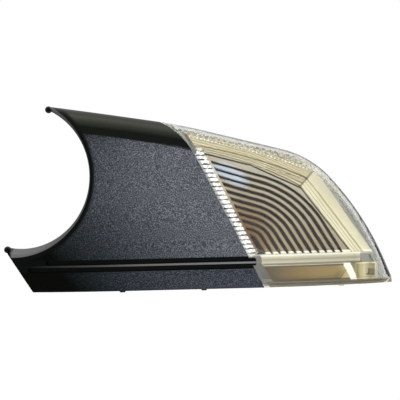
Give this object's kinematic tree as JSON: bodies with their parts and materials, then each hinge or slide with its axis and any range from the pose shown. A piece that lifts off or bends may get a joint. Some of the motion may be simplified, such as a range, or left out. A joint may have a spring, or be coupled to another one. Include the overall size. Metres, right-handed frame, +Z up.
{
  "type": "door mirror indicator lamp with lower cover",
  "caption": "Clear wrap-around mirror indicator lamp with ribbed reflector, joined to a black lower cover with a round notch for the mirror foot.",
  "frame": {"origin": "on the axis of the main fixing boss, at its rear mouth", "axes": "+X along the part to the lens's outer tip, +Z up, the outer face looks along -Y"},
  "size_m": [0.212, 0.0663, 0.1023],
  "materials": {
    "cover_black": "moulded satin",
    "lens_clear": "clear polished",
    "reflector_metal": "metallised",
    "case_grey": "moulded satin",
    "seal_rubber": "matt",
    "board_green": "solder mask",
    "light_guide": "frosted",
    "chip_black": "moulded",
    "can_silver": "satin",
    "led_amber": "moulded",
    "strip_amber": "film",
    "screw_steel": "zinc plated",
    "pin_tin": "tinned"
  },
  "bodies": {
    "root": {"cover": "cover_black", "lens": "lens_clear", "rib_reflector": "reflector_metal", "lower_reflector": "reflector_metal", "rear_case": "case_grey", "rim_seal": "seal_rubber", "breather_plug": "seal_rubber", "led_board": "board_green", "light_bar": "light_guide", "driver_chip": "chip_black", "capacitor": "can_silver", "protection_diode": "chip_black", "side_board": "board_green", "side_led": "led_amber", "jumper_strip": "strip_amber", "case_screws": "screw_steel", "led_1": "led_amber", "resistor_1": "chip_black", "led_2": "led_amber", "resistor_2": "chip_black", "led_3": "led_amber", "resistor_3": "chip_black", "led_4": "led_amber", "resistor_4": "chip_black", "led_5": "led_amber", "resistor_5": "chip_black", "terminal_1": "pin_tin", "terminal_2": "pin_tin"}
  },
  "joints": []
}
